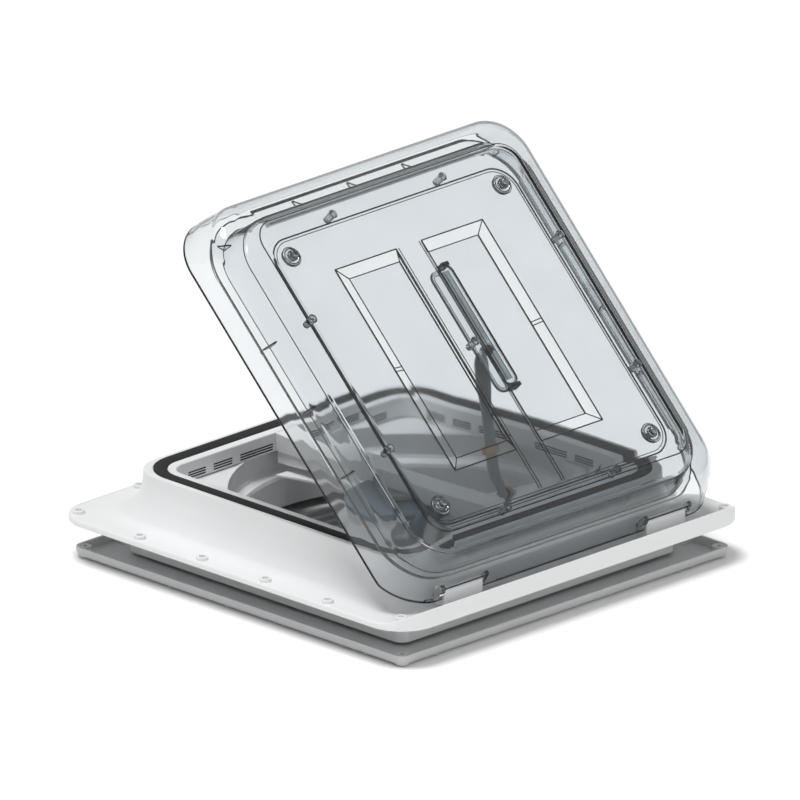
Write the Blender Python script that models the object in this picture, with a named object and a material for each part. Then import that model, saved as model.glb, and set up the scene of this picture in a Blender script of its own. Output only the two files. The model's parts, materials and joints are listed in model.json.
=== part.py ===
"""Roof vent cover with fan: hinged double dome lid, roof frame, ceiling frame, fan and lid winder.

Built in metres, +Z up.  The origin is the bottom centre of the ceiling frame.  X runs along the
lid hinge, -Y is the hinge side, +Y the free side.  Dimensions below are in millimetres.
"""
import math

import bmesh
import bpy
from mathutils import Matrix, Vector
from mathutils.geometry import tessellate_polygon

MM = 0.001
GAP = 0.3                      # clearance between pieces that touch

# Plan sizes (half widths)
FLANGE_HALF = 250.0            # roof flange
FLANGE_CORNER = 42.0
FLANGE_UNDER = 41.6
FLANGE_TOP = 47.0
LIP_START = 208.0              # the hinge side of the flange sweeps up from here
LIP_RISE = 14.5
NECK_OUT = 197.0               # fits a 400 mm square roof opening
NECK_IN = 193.6
NECK_BOTTOM = 7.0
RIM_IN = 166.6                 # clear opening inside the upstand
RIM_TOP = 94.3
SEAL_OUT = 190.3
SEAL_IN = 176.2
WALL_BOTTOM = 74.0             # lower edge of the inner wall

CEILING_HALF = 235.0
CEILING_HEIGHT = 12.0
CEILING_FLOOR = 3.0
CEILING_OPENING = 148.0        # radius

WELL_RADIUS = 176.0
DECK_TOP = 72.6

# Lid
HINGE_Y = -226.0
HINGE_Z = 60.0
LID_OPEN = 45.0                # degrees at rest
DOME_WALL = 3.0
PANEL_CENTRE = 226.0           # distance from the hinge to the panel's centre
BRACKET_X = 144.5
BRACKET_HALF = 27.5
PIN_RADIUS = 2.5

# Winder
ARM_X = 27.0
ARM_Y = -112.0
ARM_Z = 85.0
ARM_LENGTH = 153.0
ARM_ANGLE = 82.5               # degrees from +Y at rest
ARM_BEND = 9.5                 # offset of the arm's wide part from the line of its two pins
WORM_X = 34.0
WORM_Z = 70.0
CRANK_Y = -157.0

# Fan
FAN_HUB_RADIUS = 57.0
FAN_TIP_RADIUS = 154.0
BLADES = 3
BLADE_START = math.radians(194)


# ---------------------------------------------------------------- scene and materials

for old in list(bpy.data.objects):
    bpy.data.objects.remove(old, do_unlink=True)


def material(name, colour, roughness, metallic=0.0, alpha=1.0):
    mat = bpy.data.materials.new(name)
    mat.use_nodes = True
    shader = mat.node_tree.nodes["Principled BSDF"]
    shader.inputs["Base Color"].default_value = (*colour, 1.0)
    shader.inputs["Roughness"].default_value = roughness
    shader.inputs["Metallic"].default_value = metallic
    shader.inputs["Alpha"].default_value = alpha
    return mat


LOOKS = {
    "white": ((0.86, 0.86, 0.86), 0.45),
    "light_grey": ((0.56, 0.57, 0.57), 0.5),
    "mid_grey": ((0.32, 0.33, 0.33), 0.45),
    "pale": ((0.74, 0.75, 0.75), 0.45),
    "rubber": ((0.02, 0.02, 0.02), 0.75),
    "black": ((0.02, 0.02, 0.02), 0.5),
    "smoke_blue": ((0.30, 0.37, 0.42), 0.25),
    "clear": ((0.72, 0.78, 0.82), 0.08, 0.0, 0.35),
    "steel": ((0.62, 0.62, 0.63), 0.3, 1.0),
    "brass": ((0.62, 0.40, 0.20), 0.35, 1.0),
}


def empty(name, location, rotation=(0.0, 0.0, 0.0)):
    node = bpy.data.objects.new(name, None)
    node.location = [MM * value for value in location]
    node.rotation_euler = rotation
    bpy.context.scene.collection.objects.link(node)
    return node


def place(name, shape, look, parent=None, location=(0.0, 0.0, 0.0), smooth=True):
    """Makes an object from (verts, faces), given in millimetres from its origin."""
    verts, faces = shape
    mesh = bpy.data.meshes.new(name)
    mesh.from_pydata([[MM * value for value in vert] for vert in verts], [], faces)
    tidy = bmesh.new()
    tidy.from_mesh(mesh)
    bmesh.ops.recalc_face_normals(tidy, faces=tidy.faces)
    tidy.to_mesh(mesh)
    tidy.free()
    if look:
        mesh.materials.append(material(name + "_look", *LOOKS[look]))
    if smooth:
        mesh.shade_smooth()
        mesh.set_sharp_from_angle(angle=math.radians(35))
    obj = bpy.data.objects.new(name, mesh)
    obj.location = [MM * value for value in location]
    obj.parent = parent
    bpy.context.scene.collection.objects.link(obj)
    return obj


def combine(obj, shape, operation):
    """Adds or cuts a shape, given in the object's own coordinates, with a Boolean modifier."""
    tool = place(obj.name + "_" + operation.lower(), shape, None, obj.parent, smooth=False)
    tool.location = obj.location
    tool.hide_render = True
    tool.display_type = "WIRE"
    modifier = obj.modifiers.new(operation.title(), "BOOLEAN")
    modifier.operation = operation
    modifier.solver = "EXACT"
    modifier.object = tool


# ---------------------------------------------------------------- shapes

def circle(radius, count, centre=(0.0, 0.0), start=0.0):
    cx, cy = centre
    turns = [start + 2 * math.pi * i / count for i in range(count)]
    return [(cx + radius * math.cos(a), cy + radius * math.sin(a)) for a in turns]


def rounded(x_half, y_low, y_high, corner, steps=7):
    """Outline of a rectangle with round corners, counter-clockwise."""
    points = []
    corners = [(x_half - corner, y_high - corner, 0), (-x_half + corner, y_high - corner, 1),
               (-x_half + corner, y_low + corner, 2), (x_half - corner, y_low + corner, 3)]
    for cx, cy, quarter in corners:
        for i in range(steps + 1):
            a = (quarter + i / steps) * math.pi / 2
            points.append((cx + corner * math.cos(a), cy + corner * math.sin(a)))
    return points


def square(half, corner, steps=7):
    return rounded(half, -half, half, corner, steps)


def lift(points, z):
    return [(x, y, z) for x, y in points]


def skin(rings, closed=False):
    """Side faces through rings of equal length; closed joins the last ring to the first."""
    count = len(rings[0])
    verts = [point for ring in rings for point in ring]
    faces = []
    pairs = len(rings) if closed else len(rings) - 1
    for k in range(pairs):
        a = k * count
        b = ((k + 1) % len(rings)) * count
        for i in range(count):
            j = (i + 1) % count
            faces.append((a + i, a + j, b + j, b + i))
    return verts, faces


def solid(rings, holes=()):
    """A closed body: rings from bottom cap to top cap, and holes as rings from bottom to top."""
    verts, faces = skin(rings)
    loops = [(0, len(verts) - len(rings[0]), len(rings[0]), rings)]
    for hole in holes:
        start = len(verts)
        more, sides = skin(hole)
        verts = verts + more
        faces = faces + [tuple(start + i for i in face) for face in sides]
        loops.append((start, start + len(more) - len(hole[0]), len(hole[0]), hole))
    for end in (0, 1):
        outlines = []
        index = []
        for loop in loops:
            start, count = loop[end], loop[2]
            outlines.append([Vector(verts[start + i]) for i in range(count)])
            index.extend(range(start, start + count))
        if holes:
            faces.extend(tuple(index[i] for i in tri) for tri in tessellate_polygon(outlines))
        else:
            faces.append(tuple(index))
    return verts, faces


def prism(outline, z0, z1, holes=()):
    cut = [[lift(hole, z0), lift(hole, z1)] for hole in holes]
    return solid([lift(outline, z0), lift(outline, z1)], cut)


def turned(profile, count, centre=(0.0, 0.0)):
    """Revolves (radius, z) points about a vertical axis; the ends are capped."""
    return solid([lift(circle(radius, count, centre), z) for radius, z in profile])


def turned_ring(profile, count, centre=(0.0, 0.0)):
    return skin([lift(circle(radius, count, centre), z) for radius, z in profile], closed=True)


def block(x0, x1, y0, y1, z0, z1):
    return prism([(x0, y0), (x1, y0), (x1, y1), (x0, y1)], z0, z1)


def moved(shape, matrix):
    verts, faces = shape
    return [tuple(matrix @ Vector(vert)) for vert in verts], faces


def shifted(shape, x, y, z=0.0):
    return moved(shape, Matrix.Translation((x, y, z)))


def along_x(shape, y, z):
    """Turns a shape made about Z so that its axis runs along X through (y, z)."""
    return moved(shape, Matrix.Translation((0, y, z)) @ Matrix.Rotation(math.pi / 2, 4, "Y"))


def side_profile(outline, x0, x1):
    """Extrudes a (y, z) outline along X."""
    return solid([[(x0, y, z) for y, z in outline], [(x1, y, z) for y, z in outline]])


def together(shapes):
    verts = []
    faces = []
    for more, sides in shapes:
        start = len(verts)
        verts.extend(more)
        faces.extend(tuple(start + i for i in face) for face in sides)
    return verts, faces


def four_ways(shape):
    """The shape and its three copies, turned by quarter turns about Z."""
    return [moved(shape, Matrix.Rotation(k * math.pi / 2, 4, "Z")) for k in range(4)]


# ---------------------------------------------------------------- roof frame and seal

def lip(y):
    """Extra height of the flange's top along the hinge side."""
    reach = max(0.0, -y - LIP_START) / (FLANGE_HALF - LIP_START)
    return LIP_RISE * reach * reach


def frame_ring(half, z, corner, rise=False):
    return [(x, y, z + (lip(y) if rise else 0.0)) for x, y in square(half, corner)]


def roof_frame():
    top = [(250.0, 46.3, 42.0), (249.3, 47.0, 41.6), (244.0, 47.0, 40.5), (238.0, 47.0, 40.0),
           (232.0, 47.0, 40.0), (226.0, 47.0, 42.0), (218.0, 47.6, 44.0)]
    flare = [(212.5, 50.2, 46.0), (207.3, 56.5, 46.0), (203.4, 63.0, 45.0), (200.4, 70.0, 43.5),
             (198.0, 77.0, 41.5), (196.6, 85.0, 40.0), (196.0, 93.8, 39.5), (195.0, 94.9, 38.5)]
    seat = [(190.9, 94.9, 44.6), (190.9, 92.6, 44.6), (175.7, 92.0, 29.4), (175.7, 94.3, 29.4)]
    inner = [(167.4, 94.3, 21.1), (166.6, 93.5, 20.3), (166.6, WALL_BOTTOM, 20.3),
             (169.6, WALL_BOTTOM, 23.3), (169.6, 89.0, 23.3), (193.0, 89.0, 46.0),
             (193.6, 57.0, 44.0), (193.6, 44.0, 12.0)]
    neck = [(193.6, NECK_BOTTOM, 9.0), (NECK_OUT, NECK_BOTTOM, 12.4),
            (NECK_OUT, FLANGE_UNDER, 12.4), (FLANGE_HALF, FLANGE_UNDER, FLANGE_CORNER)]
    rings = [frame_ring(half, z, corner, True) for half, z, corner in top]
    rings += [frame_ring(half, z, corner) for half, z, corner in flare + seat + inner + neck]
    frame = place("roof_frame", skin(rings, closed=True), "white")

    ring_boss = turned([(6.0, -1.5), (6.0, 3.4), (5.6, 3.7), (3.3, 3.7), (3.3, 0.9)], 12)
    spots = [(side * 240.0, y) for side in (-1, 1) for y in (-134, -45, 45, 134)]
    spots += [(x, 240.0) for x in (-134, -45, 45, 134)]
    spots += [(sx * 231.0, sy * 230.0) for sx in (-1, 1) for sy in (-1, 1)]
    bosses = [shifted(ring_boss, x, y, FLANGE_TOP + lip(y)) for x, y in spots]
    combine(frame, together(bosses), "UNION")

    slots = []
    for side in (-1, 1):
        for start, length in ((17.0, 47.0), (75.0, 27.0), (113.0, 25.0)):
            for row in range(3):
                a = side * start
                b = side * (start + length)
                z = 75.8 + 2.7 * row
                slots.append(block(min(a, b), max(a, b), 164.0, 171.5, z, z + 1.8))
    cuts = [shape for slot in slots for shape in four_ways(slot)]
    combine(frame, together(cuts), "DIFFERENCE")
    return frame


def rubber_seal():
    profile = [(190.3, 93.1), (190.3, 95.4), (188.6, 96.3), (184.5, 96.6), (180.0, 96.0),
               (177.2, 95.0), (176.2, 94.0), (176.2, 92.7)]
    rings = [lift(square(half, half - 146.3), z) for half, z in profile]
    return place("rubber_seal", skin(rings, closed=True), "rubber")


# ---------------------------------------------------------------- fan shroud and bridge

def fan_shroud():
    deck = solid([lift(square(193.0, 44.5, 5), 70.0), lift(square(193.0, 44.5, 5), DECK_TOP)],
                 [[lift(circle(177.3, 56), 70.0), lift(circle(177.3, 56), DECK_TOP)]])
    shroud = place("fan_shroud", deck, "pale")
    well = [(WELL_RADIUS, 73.4), (WELL_RADIUS, 52.0), (174.0, 48.6), (166.6, 45.6),
            (165.4, 42.0), (165.4, 12.0), (167.8, 12.0), (167.8, 43.0), (176.4, 46.8),
            (178.6, 51.0), (178.6, 73.4)]
    combine(shroud, turned_ring(well, 56), "UNION")
    return shroud


def bridge_beam():
    """Spans the well along Y and carries the motor."""
    end = 166.2
    upper = [(-end, 74.5), (-end, 93.6), (-118.0, 90.6), (118.0, 90.6), (end, 93.6), (end, 74.5)]
    lower = [(-end + 0.8, 61.0), (-120.0, 63.5), (-62.0, 72.2), (62.0, 72.2), (120.0, 63.5),
             (end - 0.8, 61.0), (end - 0.8, 76.0), (-end + 0.8, 76.0)]
    beam = place("bridge_beam", side_profile(upper, -14.0, 14.0), "pale")
    combine(beam, side_profile(lower, -12.0, 12.0), "UNION")
    bevel = beam.modifiers.new("Bevel", "BEVEL")
    bevel.width = 1.2 * MM
    bevel.segments = 1
    bevel.limit_method = "ANGLE"
    bevel.angle_limit = math.radians(50)
    return beam


# ---------------------------------------------------------------- ceiling frame and grille

def ceiling_frame():
    wall = [(227.0, 0.0, 5.0), (231.0, 1.4, 7.0), (233.9, 4.2, 8.6), (235.0, 8.0, 9.0),
            (235.0, CEILING_HEIGHT, 9.0), (232.2, CEILING_HEIGHT, 6.2),
            (232.2, CEILING_FLOOR, 6.2)]
    opening = circle(CEILING_OPENING, 56)
    shaft_hole = circle(8.6, 16, (WORM_X, CRANK_Y))
    holes = [[lift(opening, 0.0), lift(opening, CEILING_FLOOR)],
             [lift(shaft_hole, 0.0), lift(shaft_hole, CEILING_FLOOR)]]
    rings = [lift(square(half, corner, 4), z) for half, z, corner in wall]
    frame = place("ceiling_frame", solid(rings, holes), "light_grey")

    extras = []
    gusset = [(0.0, 1.5), (23.5, 1.5), (23.5, 11.0)]
    for along in (180.0, 164.0, 149.0, 63.0, -18.0, -99.0, -183.0):
        rib = solid([[(209.5 + u, along - 1.0, w) for u, w in gusset],
                     [(209.5 + u, along + 1.0, w) for u, w in gusset]])
        extras.extend(four_ways(rib))
    for sx in (-1, 1):
        for sy in (-1, 1):
            boss = turned([(7.0, 1.5), (7.0, 11.7), (2.4, 11.7), (2.4, 4.0)], 14)
            extras.append(shifted(boss, sx * 226.0, sy * 226.0))
    combine(frame, together(extras), "UNION")
    return frame


def arc_slot(inner, outer, start, end, steps):
    a = [start + (end - start) * i / steps for i in range(steps + 1)]
    return ([(outer * math.cos(t), outer * math.sin(t)) for t in a]
            + [(inner * math.cos(t), inner * math.sin(t)) for t in reversed(a)])


def grille_guard():
    """Disc of concentric slats joined by four spokes."""
    pitch = 16.0
    slots = []
    for ring in range(7):
        outer = 142.0 - ring * pitch
        inner = outer - 10.4
        half_spoke = 3.0 / inner
        for quarter in range(4):
            start = (quarter + 0.5) * math.pi / 2 + half_spoke
            end = (quarter + 1.5) * math.pi / 2 - half_spoke
            steps = 6 if outer > 70 else 4
            slots.append(arc_slot(inner, outer, start, end, steps))
    rim = circle(CEILING_OPENING - GAP, 56)
    return place("grille_guard", prism(rim, 2.0, 7.0, slots), "light_grey")


# ---------------------------------------------------------------- fan

def blade(angle):
    """A thin twisted sector, its root buried in the sleeve."""
    radial = 5
    chord = 5
    layers = ([], [])
    for i in range(radial + 1):
        f = i / radial
        radius = 56.2 + (FAN_TIP_RADIUS - 56.2) * f
        half = math.radians(24 - 3 * f)
        for j in range(chord + 1):
            g = j / chord
            turn = angle + half * (2 * g - 1) + 0.10 * f * f
            z = 44.0 + 11.0 * g + 1.6 * math.sin(math.pi * g)
            point = (radius * math.cos(turn), radius * math.sin(turn))
            layers[0].append((*point, z - 1.0))
            layers[1].append((*point, z + 1.0))
    size = (radial + 1) * (chord + 1)
    faces = []
    for i in range(radial):
        for j in range(chord):
            a = i * (chord + 1) + j
            quad = (a, a + 1, a + chord + 2, a + chord + 1)
            faces.append(quad)
            faces.append(tuple(size + k for k in reversed(quad)))
    row = chord + 1
    edge = list(range(row)) + [row * i + chord for i in range(1, radial + 1)]
    edge += [row * radial + j for j in range(chord - 1, -1, -1)]
    edge += [row * i for i in range(radial - 1, 0, -1)]
    for k, a in enumerate(edge):
        b = edge[(k + 1) % len(edge)]
        faces.append((a, b, size + b, size + a))
    return layers[0] + layers[1], faces


def fan():
    pivot = empty("fan_axis", (0.0, 0.0, 50.0))
    drop = Matrix.Translation((0, 0, -50.0))
    sleeve = [(59.0, 57.0), (59.0, 44.0), (65.0, 43.0), (65.0, 41.0), (57.3, 41.0), (57.3, 57.0)]
    sleeve = turned_ring(sleeve, 32)
    rotor = place("fan_blades", moved(sleeve, drop), "pale", pivot)
    blades = [moved(blade(BLADE_START + k * 2 * math.pi / BLADES), drop) for k in range(BLADES)]
    # The blades stop just inside the sleeve's outer face.
    trimmed = []
    for verts, faces in blades:
        out = []
        for x, y, z in verts:
            radius = max(math.hypot(x, y), 58.2)
            scale = radius / math.hypot(x, y)
            out.append((x * scale, y * scale, z))
        trimmed.append((out, faces))
    combine(rotor, together(trimmed), "UNION")
    hub = [(3.4, 41.0), (57.0, 41.0), (57.0, 58.5), (54.0, 58.5), (54.0, 44.0), (9.0, 44.0),
           (9.0, 52.0), (3.4, 52.0)]
    place("fan_hub", moved(turned_ring(hub, 32), drop), "smoke_blue", pivot)
    cap = [(3.4, 58.8), (57.6, 58.8), (57.6, 63.0), (55.0, 65.6), (51.0, 66.4), (3.4, 66.4)]
    place("fan_cap", moved(turned_ring(cap, 32), drop), "smoke_blue", pivot)
    shaft = turned([(3.1, 38.6), (3.1, 69.6)], 12)
    place("motor_shaft", moved(shaft, drop), "steel", pivot)
    nut = turned_ring([(3.9, 52.4), (7.5, 52.4), (7.5, 56.6), (3.9, 56.6)], 6)
    place("fan_nut", moved(nut, drop), "steel", pivot)


def motor_housing():
    profile = [(3.5, 67.0), (25.0, 67.0), (27.0, 68.2), (27.0, 71.9), (3.5, 71.9)]
    return place("motor_housing", turned_ring(profile, 28), "mid_grey")


# ---------------------------------------------------------------- hinges

def hinges():
    outline = [(-232.0, 52.2), (-226.0, 50.2), (-219.0, 49.0), (-219.0, 68.8), (-220.2, 70.0),
               (-228.0, 70.0), (-232.0, 66.0)]
    for side, label in ((-1, "left"), (1, "right")):
        x = side * BRACKET_X
        bracket = place("hinge_bracket_" + label,
                        side_profile(outline, x - BRACKET_HALF, x + BRACKET_HALF), "white")
        bore = along_x(turned([(PIN_RADIUS + GAP, -40.0), (PIN_RADIUS + GAP, 40.0)], 16),
                       HINGE_Y, HINGE_Z)
        combine(bracket, shifted(bore, x, 0.0), "DIFFERENCE")
        pin = along_x(turned([(PIN_RADIUS, -33.0), (PIN_RADIUS, 33.0)], 16), 0.0, 0.0)
        place("hinge_pin_" + label, pin, "steel", location=(x, HINGE_Y, HINGE_Z))


# ---------------------------------------------------------------- lid, in hinge coordinates

# Outer surface of the dome: height, half width, hinge edge, free edge, corner radius.
DOME = [(-11.0, 228.0, -4.0, 459.0, 47.0), (0.0, 226.6, -4.0, 458.2, 46.8),
        (10.0, 224.4, -1.5, 456.8, 46.6), (25.0, 221.0, 4.0, 454.0, 46.0),
        (32.7, 219.5, 8.0, 452.5, 45.0), (39.1, 215.1, 12.5, 448.1, 42.5),
        (43.5, 208.7, 18.0, 441.7, 39.0), (46.4, 202.0, 24.0, 435.0, 35.5),
        (54.6, 184.5, 43.0, 417.5, 25.0), (56.0, 180.5, 47.0, 413.5, 22.0)]


def skirt(v):
    """Extra height of the skirt's lower edge near the hinge, over the flange's lip."""
    reach = min(1.0, max(0.0, (34.0 - v) / 34.0))
    return 11.0 * reach


def dome_ring(row, inset):
    w, half, low, high, corner = row
    ring = rounded(half - inset, low + inset, high - inset, corner - inset)
    drop = 0.0 if w <= 25.0 else inset * min(1.0, (w - 25.0) / 20.0)
    edge = w < 0.0
    return [(x, v, w - drop + (skirt(v) * 0.98 if edge else 0.0)) for x, v in ring]


def gusset(x, v, turn):
    """Triangular stiffener between the panel's outer wall and its lip."""
    outline = [(-1.2, 9.4), (10.4, 8.4), (10.4, 9.6), (0.0, 21.0), (-1.2, 21.0)]
    shape = solid([[(u, -0.9, w) for u, w in outline], [(u, 0.9, w) for u, w in outline]])
    place_at = Matrix.Translation((x, v, 0.0)) @ Matrix.Rotation(turn, 4, "Z")
    return moved(shape, place_at)


def dome(pivot):
    inside = [dome_ring(row, DOME_WALL) for row in reversed(DOME)]
    outside = [dome_ring(row, 0.0) for row in DOME]
    obj = place("dome", solid(inside + outside), "clear", pivot)
    extras = []
    for x, v in peg_spots():
        extras.append(shifted(turned([(3.9, 42.6), (3.9, 54.2)], 8), x, v))
    for side in (-1, 1):
        for end in (-1, 1):
            near = side * BRACKET_X + end * (BRACKET_HALF + 0.7)
            far = near + end * 5.4
            lug = [(-3.0, -3.4), (3.5, -3.4), (6.5, 0.0), (6.5, 14.0), (1.0, 14.0), (-3.0, 2.0)]
            extras.append(side_profile(lug, min(near, far), max(near, far)))
    combine(obj, together(extras), "UNION")
    cuts = []
    for side in (-1, 1):
        x = side * BRACKET_X
        half = BRACKET_HALF + 0.8
        cuts.append(block(x - half, x + half, -16.0, 15.0, -20.0, 13.6))
        bore = along_x(turned([(PIN_RADIUS + GAP, -50.0), (PIN_RADIUS + GAP, 50.0)], 16), 0, 0)
        cuts.append(shifted(bore, x, 0.0))
    for shape in (cuts[0::2], cuts[1::2]):
        combine(obj, together(shape), "DIFFERENCE")
    return obj


def peg_spots():
    side = 176.0
    middle = PANEL_CENTRE
    spots = [(0.0, middle)]
    for end in (-1, 1):
        for along in (-78.0, 78.0):
            spots.append((end * side, middle + along))
            spots.append((along, middle + end * side))
    return spots


def inner_panel(pivot):
    rows = [(41.6, 167.0, 167.0, 24.0), (41.2, 170.6, 170.6, 27.0), (40.4, 173.0, 173.0, 29.0),
            (39.9, 196.0, 196.0, 44.0), (38.6, 199.6, 199.6, 46.5), (34.0, 201.4, 201.4, 47.5),
            (18.0, 204.6, 204.0, 49.0), (10.4, 206.4, 205.6, 50.5), (8.6, 217.4, 209.6, 56.0)]
    thick = 2.2

    def ring(row, inset, drop):
        w, half, hinge, corner = row
        outline = rounded(half - inset, PANEL_CENTRE - hinge + inset,
                          PANEL_CENTRE + half - inset, corner - inset)
        return [(x, v, w - drop) for x, v in outline]

    insets = [thick if i in (5, 6) else 1.2 if i == 4 else thick if i == 7 else 0.0
              for i in range(len(rows))]
    drops = [thick if i < 5 or i > 6 else 1.0 for i in range(len(rows))]
    inside = [ring(row, insets[i], drops[i]) for i, row in enumerate(rows)]
    outside = [ring(row, 0.0, 0.0) for row in rows]
    obj = place("inner_panel", solid(inside + outside[::-1]), "clear", pivot)
    cuts = []
    for side in (-1, 1):
        low = min(side * 18.0, side * 105.0)
        high = max(side * 18.0, side * 105.0)
        wide = [(low, 107.0), (high, 107.0), (high, 349.0), (low, 349.0)]
        slim = [(low + 10, 117.0), (high - 10, 117.0), (high - 10, 339.0), (low + 10, 339.0)]
        cuts.append(solid([lift(slim, 40.4), lift(wide, 41.9)]))
    combine(obj, together(cuts), "DIFFERENCE")
    ribs = []
    for along in (-78.0, 0.0, 78.0):
        ribs.append(gusset(204.6, PANEL_CENTRE + along, 0.0))
        ribs.append(gusset(-204.6, PANEL_CENTRE + along, math.pi))
        ribs.append(gusset(along, PANEL_CENTRE + 204.6, math.pi / 2))
    combine(obj, together(ribs), "UNION")
    holes = [shifted(turned([(4.4, 30.0), (4.4, 45.0)], 14), x, v) for x, v in fixing_spots()]
    combine(obj, together(holes), "DIFFERENCE")
    return obj


def fixing_spots():
    return [(sx * 150.0, PANEL_CENTRE + sv * 150.0) for sx in (-1, 1) for sv in (-1, 1)]


def panel_fixings(pivot):
    cup = [(3.9, 38.0), (3.9, 41.9), (9.8, 41.9), (9.8, 44.6), (8.6, 44.6), (8.0, 43.4),
           (2.6, 43.4), (2.6, 38.0)]
    screw = [(2.3, 36.6), (2.3, 45.2), (3.6, 45.2), (3.6, 51.8), (2.9, 52.6)]
    for number, (x, v) in enumerate(fixing_spots(), 1):
        place("panel_grommet_%d" % number, turned_ring(cup, 16), "clear", pivot, (x, v, 0.0))
        place("panel_screw_%d" % number, turned(screw, 12), "steel", pivot, (x, v, 0.0))


def lift_rail(pivot):
    """Channel under the panel with inward lips that hold the arm's pin."""
    v0, v1 = 176.0, 316.0
    half = 10.0
    outline = [(-half, 24.0), (-5.6, 24.0), (-5.6, 25.8), (-half + 1.8, 25.8),
               (-half + 1.8, 37.2), (half - 1.8, 37.2), (half - 1.8, 25.8), (5.6, 25.8),
               (5.6, 24.0), (half, 24.0), (half, 39.0), (-half, 39.0)]
    rings = [[(ARM_X + x, v, w) for x, w in outline] for v in (v0, v1)]
    place("lift_rail", solid(rings), "clear", pivot)
    for label, v, way in (("lower", v0, -1), ("upper", v1, 1)):
        clip = [(1.0, 27.0), (half + 0.6, 27.0), (half + 0.6, 39.0), (1.0, 39.0)]
        near, far = v + way * GAP, v + way * 4.6
        rings = [[(ARM_X + x, p, w) for x, w in clip] for p in (min(near, far), max(near, far))]
        place("rail_clip_" + label, solid(rings), "black", pivot, smooth=False)


def lid():
    pivot = empty("lid_axis", (0.0, HINGE_Y, HINGE_Z), (math.radians(LID_OPEN), 0.0, 0.0))
    dome(pivot)
    inner_panel(pivot)
    panel_fixings(pivot)
    lift_rail(pivot)


# ---------------------------------------------------------------- winder

def lift_arm():
    """Folded strip that stands up from the gearbox and pushes the lid; +X is its length."""
    tilt = math.radians(ARM_ANGLE)
    pivot = empty("arm_axis", (ARM_X, ARM_Y, ARM_Z))
    pivot.rotation_euler = (tilt - math.pi / 2, 0.0, 0.0)
    # In the arm's own coordinates the length runs along +Z and the thickness along Y.
    length = ARM_LENGTH
    stations = [(-5.0, 4.0, 0.0), (8.0, 4.6, 0.0), (22.0, 6.4, 7.0), (36.0, 9.5, ARM_BEND),
                (length - 13, 9.5, ARM_BEND), (length - 8, 8.4, ARM_BEND),
                (length - 5, 6.6, ARM_BEND), (length - 3.4, 4.0, ARM_BEND)]
    rings = []
    for z, half, shift in stations:
        rings.append([(-half, shift - 1.6, z), (half, shift - 1.6, z), (half, shift + 1.6, z),
                      (-half, shift + 1.6, z)])
    arm = place("lift_arm", solid(rings), "mid_grey", pivot, smooth=False)
    eye = along_x(turned([(5.2, -4.4), (5.2, 4.4)], 18), 0.0, length)
    knuckle = along_x(turned([(6.4, -4.4), (6.4, 4.4)], 18), 0.0, 0.0)
    neck = side_profile([(1.0, length - 4.4), (ARM_BEND, length - 9.0), (ARM_BEND, length - 4.2),
                         (4.0, length + 1.0)], -4.2, 4.2)
    combine(arm, together([eye, knuckle]), "UNION")
    combine(arm, neck, "UNION")
    bores = [along_x(turned([(2.8, -12.0), (2.8, 12.0)], 16), 0.0, z) for z in (0.0, length)]
    combine(arm, together(bores), "DIFFERENCE")
    pin = along_x(turned([(2.5, -7.8), (2.5, 7.8)], 16), 0.0, 0.0)
    place("arm_head_pin", pin, "steel", pivot, (0.0, 0.0, length))
    pin = along_x(turned([(2.5, -12.4), (2.5, 14.8)], 16), 0.0, 0.0)
    place("arm_pivot_pin", pin, "steel", pivot)
    ring = turned_ring([(2.8, 4.9), (10.0, 4.9), (10.0, 9.0), (2.8, 9.0)], 24)
    place("worm_wheel", along_x(ring, 0.0, 0.0), "brass", pivot, smooth=False)
    low = ARM_BEND - 2.8
    high = ARM_BEND + 2.8
    band = [(-10.4, low), (10.4, low), (10.4, high), (-10.4, high)]
    hole = [(x * 0.95, ARM_BEND + (y - ARM_BEND) * 0.7) for x, y in band]
    place("arm_band", prism(band, 44.0, 54.0, [hole]), "brass", pivot, smooth=False)


def gearbox():
    """Open-topped box beside the beam, with two ears for the arm's pivot."""
    x0, x1 = 14.4, 42.0
    y0, y1 = -163.0, -99.0
    box_ = place("gearbox_housing", block(x0, x1, y0, y1, 63.2, 80.0), "pale", smooth=False)
    ears = []
    for near, far in ((x0 + 0.0, x0 + 2.6), (x1 - 2.6, x1)):
        outline = [(-120.0, 78.0), (-104.0, 78.0), (-104.0, 87.0), (-107.0, 91.0),
                   (-117.0, 91.0), (-120.0, 87.0)]
        ears.append(side_profile(outline, near, far))
    combine(box_, together(ears), "UNION")
    inside = block(x0 + 2.6, x1 - 2.6, y0 + 2.6, y1 - 2.6, 65.4, 84.0)
    combine(box_, inside, "DIFFERENCE")
    bore = along_x(turned([(2.8, 0.0), (2.8, 40.0)], 16), ARM_Y, ARM_Z)
    combine(box_, shifted(bore, 8.0, 0.0), "DIFFERENCE")
    notch = block(WORM_X - 5.4, WORM_X + 5.4, y0 - 4.0, y0 + 12.5, 60.0, 84.0)
    combine(box_, notch, "DIFFERENCE")
    cover = place("gearbox_cover",
                  block(x0 + 2.9, x1 - 2.9, y0 + 2.9, -126.0, 77.6, 79.6), "pale", smooth=False)
    return box_, cover


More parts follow.
